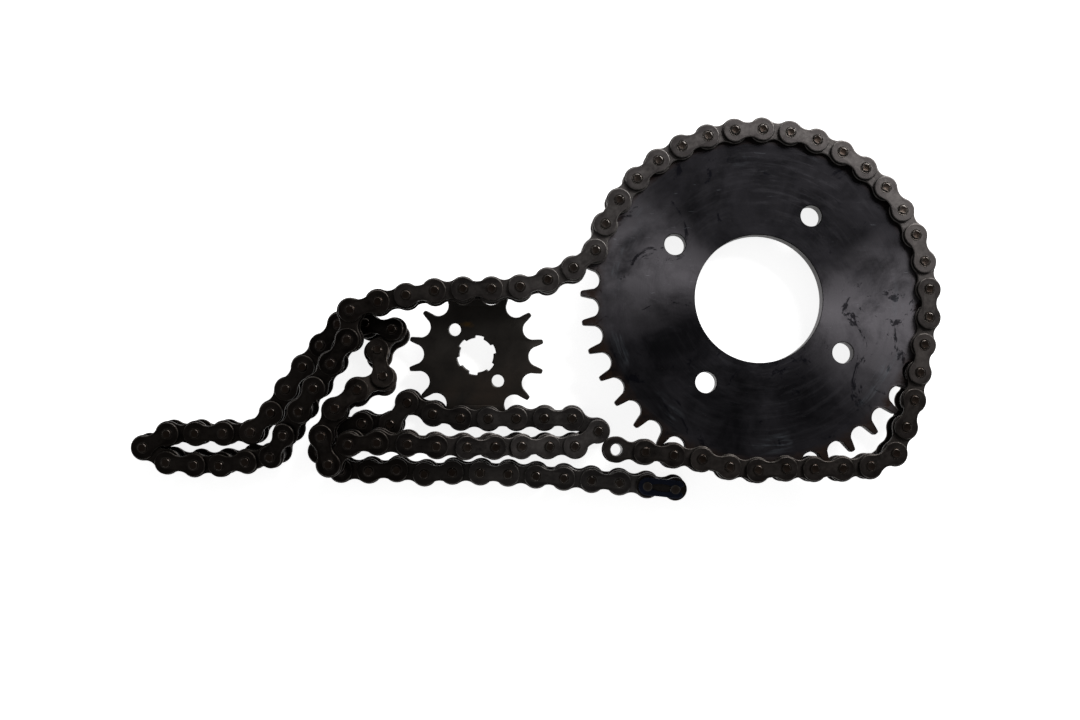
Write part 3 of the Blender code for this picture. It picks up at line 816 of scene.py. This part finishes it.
# this plate and the upper one below carry the bottom strand's dark film, painted shade included
plate(s, fc, "outer", -B1, -B0, .5, .8, [(0.0, 2.30), (PITCH, 2.30)])
pins = Soup()
for x in (0.0, PITCH):
    g = fc @ Matrix.Translation((x, 0, 0))
    prof = [(1.6, -HEAD + .05), (2.1, -HEAD + .02), (2.30, -HEAD + .3), (2.25, 0),
            (2.22, CLIP_LOW - .08), (1.56, CLIP_LOW), (1.56, CLIP_HIGH),
            (2.16, CLIP_HIGH + .10), (2.16, HEAD_TOP - .12), (1.98, HEAD_TOP),
            (1.5, HEAD_TOP + .02)]
    tone = [(.6, e, .6, q) for e, q in zip((.3, .8, .8, 0, 0, 0, 0, .6, 1, 1, .3),
                                           (.5, 0, 0, 0, 0, 0, 0, 0, 0, 0, .5))]
    r = turned(pins, g, prof, 28, tone)
    top = pins.ring([(0, 0)], HEAD_TOP - .04, g, (.6, .1, .6, .8))[0]
    low = pins.ring([(0, 0)], -HEAD + .08, g, (.6, .1, .6, .8))[0]
    for k in range(28):
        pins.f += [(r[-1][k], r[-1][(k + 1) % 28], top), (r[0][(k + 1) % 28], r[0][k], low)]
        pins.m += [0, 0]
s.build("connecting_link_lower_plate_look", [STEEL], "connecting_link",
        ["connecting_link_pins"], "chain_steel")
pins.build("connecting_link_pins_look", [PINS], "connecting_link", ["connecting_link_pins"],
           "chain_steel", 40)
s = Soup()
plate(s, fc, "outer", B0, B1 + .1, .3, .8, [(0.0, 2.42), (PITCH, 2.42)])
s.build("connecting_link_plate_look", [STEEL], "connecting_link", ["connecting_link_plate"],
        "chain_steel")


def clip_outline():
    """A split spring clip: round head behind the first pin, two legs that pinch the
    second pin's groove and flare at their tips."""
    out = []
    for k in range(19):                     # outside of the head
        a = radians(90 + 180 * k / 18)
        out.append((4.05 * cos(a), 4.05 * sin(a)))
    leg = [(3, -4.03), (6.3, -4.0), (9.5, -4.02), (12.2, -4.04), (14.2, -3.90),
           (15.6, -3.35), (16.2, -2.60), (16.1, -1.75), (15.4, -1.22), (14.7, -1.10),
           (14.1, -1.30)]
    out += leg
    for k in range(9):                      # round the second pin
        a = radians(-42 - 96 * k / 8)
        out.append((PITCH + 1.80 * cos(a), 1.80 * sin(a)))
    out += [(10.4, -1.15), (9.3, -1.62), (6.3, -1.72), (4.1, -1.50), (2.3, -1.05)]
    for k in range(17):                     # round the first pin
        a = radians(-36 - 288 * k / 16)
        out.append((1.80 * cos(a), 1.80 * sin(a)))
    out += [(x, -y) for x, y in ((2.3, -1.05), (4.1, -1.50), (6.3, -1.72), (9.3, -1.62),
                                 (10.4, -1.15))]
    for k in range(9):
        a = radians(138 - 96 * k / 8)
        out.append((PITCH + 1.80 * cos(a), 1.80 * sin(a)))
    out += [(x, -y) for x, y in reversed(leg)]
    return out


def slab(soup, frame, line, low, high, b, holes=(), deep=None, tone=lambda x, y, e: (.5, e, 0, 0)):
    """A plate from an outline and holes, with its edges broken by b."""
    deep = deep or (lambda x, y: b)

    def ring(l, z, e):
        start = len(soup.v)
        for x, y in l:
            soup.v.append(frame @ Vector((x, y, z)))
            soup.tone.append(tone(x, y, e))
        return list(range(start, start + len(l)))

    inner = offset(line, b)
    chain = [ring(inner, low, .4), ring(line, low + b, 1), ring(line, high - b, 1),
             ring(inner, high, .4)]
    for a, c in zip(chain, chain[1:]):
        soup.wall(a, c)
    lines, lows, highs = [inner], [chain[0]], [chain[-1]]
    for h in holes:
        h = list(reversed(h)) if sum(h[k - 1][0] * h[k][1] - h[k][0] * h[k - 1][1]
                                     for k in range(len(h))) < 0 else h
        wide = offset(h, -b)
        r = [ring(wide, low, .4), ring(h, low + b, .8), ring(h, high - b, .8),
             ring(wide, high, .4)]
        for a, c in zip(r, r[1:]):
            soup.wall(c, a)
        lines.append(wide)
        lows.append(r[0])
        highs.append(r[-1])
    soup.cap(lines, lows, flip=True)
    soup.cap(lines, highs)


s = Soup()
slab(s, fc, clip_outline(), CLIP_LOW, CLIP_HIGH, .12)
s.build("spring_clip_look", [BLUE], "spring_clip", ["spring_clip"], "blued_steel", 35)


# ---------------------------------------------------------------- sprockets
def tooth_line(teeth, pitch_r, tip_r, seat_r, phase, tip_half, hook=0.0):
    """Round seats and slightly hollow flanks, up to narrow rounded tips."""
    out = []
    step = 2 * pi / teeth
    for k in range(teeth):
        a = phase + k * step
        for j in range(13):
            b = radians(-60 + 10 * j)
            rad, tan = pitch_r - seat_r * cos(b), seat_r * sin(b)
            out.append((rad * cos(a) - tan * sin(a), rad * sin(a) + tan * cos(a)))
        m = a + step / 2
        b = radians(60)
        r0, t0 = pitch_r - seat_r * cos(b), seat_r * sin(b)
        left = atan2(t0, r0) - step / 2           # flank foot, from the tooth's middle
        rf = hypot(r0, t0)
        flank = []
        for u in (.30, .60, .88):
            r = rf + (tip_r - rf) * u
            w = abs(left) * (1 - u) + tip_half / tip_r * u
            flank.append((r, w))
        for r, w in flank:
            out.append((r * cos(m - w), r * sin(m - w)))
        for q, dr in ((-.80, .04), (0.0, .14), (.80, .04)):
            w = q * tip_half / tip_r
            out.append(((tip_r - .14 + dr) * cos(m + w), (tip_r - .14 + dr) * sin(m + w)))
        for r, w in reversed(flank):
            out.append((r * cos(m + w), r * sin(m + w)))
    return out


def toothed(soup, line, frame, half, root_r, tip_r, holes, edge_b, thin):
    """The disc: flat faces that thin towards the tips of the teeth."""
    def ring(l, z, e, shrink=0.0):
        start = len(soup.v)
        for x, y in l:
            r = hypot(x, y)
            g = min(max((r - root_r) / (tip_r - root_r), 0), 1)
            zz = z - (thin * g ** 1.3 if z > 0 else -thin * g ** 1.3)
            soup.v.append(frame @ Vector((x, y, zz)))
            rust = min(max((r - root_r + .2) / 1.0, 0), 1)
            soup.tone.append((.5, e, 0, .75 * rust))
        return list(range(start, start + len(l)))

    c = offset(line, edge_b)
    # a second ring further in keeps the flat of the face flat
    body = circle(root_r - 1.4, len(line))
    top = [ring(c, half, .1), ring(line, half - edge_b, .8), ring(line, -half + edge_b, .8),
           ring(c, -half, .1)]
    for a, b in zip(top, top[1:]):
        soup.wall(b, a)
    n = len(line)
    start_a = atan2(line[0][1], line[0][0])
    body = circle(root_r - 1.4, n, 0, 0, start_a)
    hi, lo = ring(body, half, 0), ring(body, -half, 0)
    soup.cap([c, body], [top[0], hi])
    soup.cap([c, body], [top[-1], lo], flip=True)
    lines, highs, lows = [body], [hi], [lo]
    for h in holes:
        wide = offset(h, -.35)
        r = [ring(wide, half, 0), ring(h, half - .35, .7), ring(h, -half + .35, .7),
             ring(wide, -half, 0)]
        for a, b in zip(r, r[1:]):
            soup.wall(a, b)
        lines.append(wide)
        highs.append(r[0])
        lows.append(r[-1])
    soup.cap(lines, highs)
    soup.cap(lines, lows, flip=True)


ring_frame = row(Matrix(((U[0], V[0], TILT[0], CENTRE[0]), (U[1], V[1], TILT[1], CENTRE[1]),
                         (U[2], V[2], TILT[2], CENTRE[2]), (0, 0, 0, 1))))
s = Soup()
bolts = [circle(REAR_BOLT_R, 40, REAR_BOLT_CIRCLE_R * cos(radians(REAR_BOLT_AT + 90 * k)),
                REAR_BOLT_CIRCLE_R * sin(radians(REAR_BOLT_AT + 90 * k))) for k in range(4)]
toothed(s, tooth_line(REAR_TEETH, REAR_R, REAR_TIP_R, SEAT_R, PHASE, 1.10), ring_frame,
        THICK / 2, REAR_R - SEAT_R, REAR_TIP_R, [circle(REAR_BORE_R, 128)] + bolts, .30, .95)
s.build("rear_sprocket_look", [DISC], "rear_sprocket", ["rear_sprocket"], "black_oxide", 30,
        ring_frame)

low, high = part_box("front_sprocket")
hub = Vector(((low[0] + high[0]) / 2, (low[1] + high[1]) / 2, (low[2] + high[2]) / 2)) * 1000
mid = (PTS[85] + PTS[86]) / 2
along = (PTS[86] - PTS[85]) / PITCH
away = np.array([along[1], -along[0], 0.0])
away = away if away[1] > 0 else -away
centre = mid + away * sqrt(FRONT_SEAT ** 2 - (PITCH / 2) ** 2)
centre[2] = PIN_END
front_frame = Matrix.Translation(Vector(centre) + SHIFT)
start = atan2(-away[1], -away[0]) + pi / FRONT_TEETH


def spline_line():
    out = []
    for k in range(6):
        c = radians(20 + 60 * k)
        for q in (-.30, -.265):
            out.append((SPLINE_R * cos(c + q), SPLINE_R * sin(c + q)))
        for q in (-.225, -.08, .08, .225):
            out.append((SPLINE_ROOT_R * cos(c + q), SPLINE_ROOT_R * sin(c + q)))
        for q in (.265, .30, .42, .52, .62):
            out.append((SPLINE_R * cos(c + q), SPLINE_R * sin(c + q)))
    return out


s = Soup()
locks = [circle(LOCK_HOLE_R, 36, LOCK_HOLE_AT * cos(q), LOCK_HOLE_AT * sin(q))
         for q in (radians(130), radians(310))]
toothed(s, tooth_line(FRONT_TEETH, FRONT_R, FRONT_TIP_R, SEAT_R, start, .95), front_frame,
        THICK / 2, FRONT_R - SEAT_R, FRONT_TIP_R, [spline_line()] + locks, .30, 1.1)
s.build("front_sprocket_look", [SMALL_DISC], "front_sprocket", ["front_sprocket"],
        "grey_steel", 30, front_frame)


# ---------------------------------------------------------------- stage, light, camera
def floor():
    n = Nodes("pale_floor", 0.0)
    fac = n.noise(3.0, 3, .5)
    colour = n.mix(n.squash(fac, .3, .7), (.80, .80, .80), (.84, .84, .84))
    mat = n.finish(colour, n.squash(fac, .3, .7, .75, .85), fac, .02, .001)
    mat.node_tree.nodes["Principled BSDF"].inputs["Emission Color"].default_value = (1, 1, 1, 1)
    mat.node_tree.nodes["Principled BSDF"].inputs["Emission Strength"].default_value = .84
    mesh = bpy.data.meshes.new("floor")
    mesh.from_pydata([(-4, -4, -.0006), (4, -4, -.0006), (4, 4, -.0006), (-4, 4, -.0006)], [],
                     [(0, 1, 2, 3)])
    mesh.materials.append(mat)
    o = bpy.data.objects.new("floor", mesh)
    bpy.context.collection.objects.link(o)


floor()
world = bpy.data.worlds.new("studio")
bpy.context.scene.world = world
world.use_nodes = True
world.node_tree.nodes["Background"].inputs["Color"].default_value = (1.0, 1.0, 1.0, 1)
world.node_tree.nodes["Background"].inputs["Strength"].default_value = 0.24


def area(name, at, aim, size, power, colour=(1, 1, 1)):
    data = bpy.data.lights.new(name, "AREA")
    data.shape = "RECTANGLE"
    data.size, data.size_y = size
    data.energy = power
    data.color = colour
    o = bpy.data.objects.new(name, data)
    bpy.context.collection.objects.link(o)
    o.location = at
    o.rotation_euler = (Vector(aim) - Vector(at)).to_track_quat("-Z", "Y").to_euler()


area("key", (.58, .60, .62), (.10, .02, 0), (.45, .45), 10.5)
area("rim", (.25, .95, .35), (0, 0, 0), (.8, .25), 5)

bpy.context.scene.view_settings.view_transform = "Standard"
data = bpy.data.cameras.new("camera")
data.sensor_width = 36.0
data.lens = 44.49
data.shift_x, data.shift_y = -20 / 1080, -30 / 1080
data.clip_start, data.clip_end = .01, 20
camera = bpy.data.objects.new("camera", data)
bpy.context.collection.objects.link(camera)
camera.location = ((CENTRE[0] + SHIFT[0] - 89.5) * MM, (CENTRE[1] + SHIFT[1] - 13.9) * MM,
                   (620 + SHIFT[2]) * MM)
bpy.context.scene.camera = camera
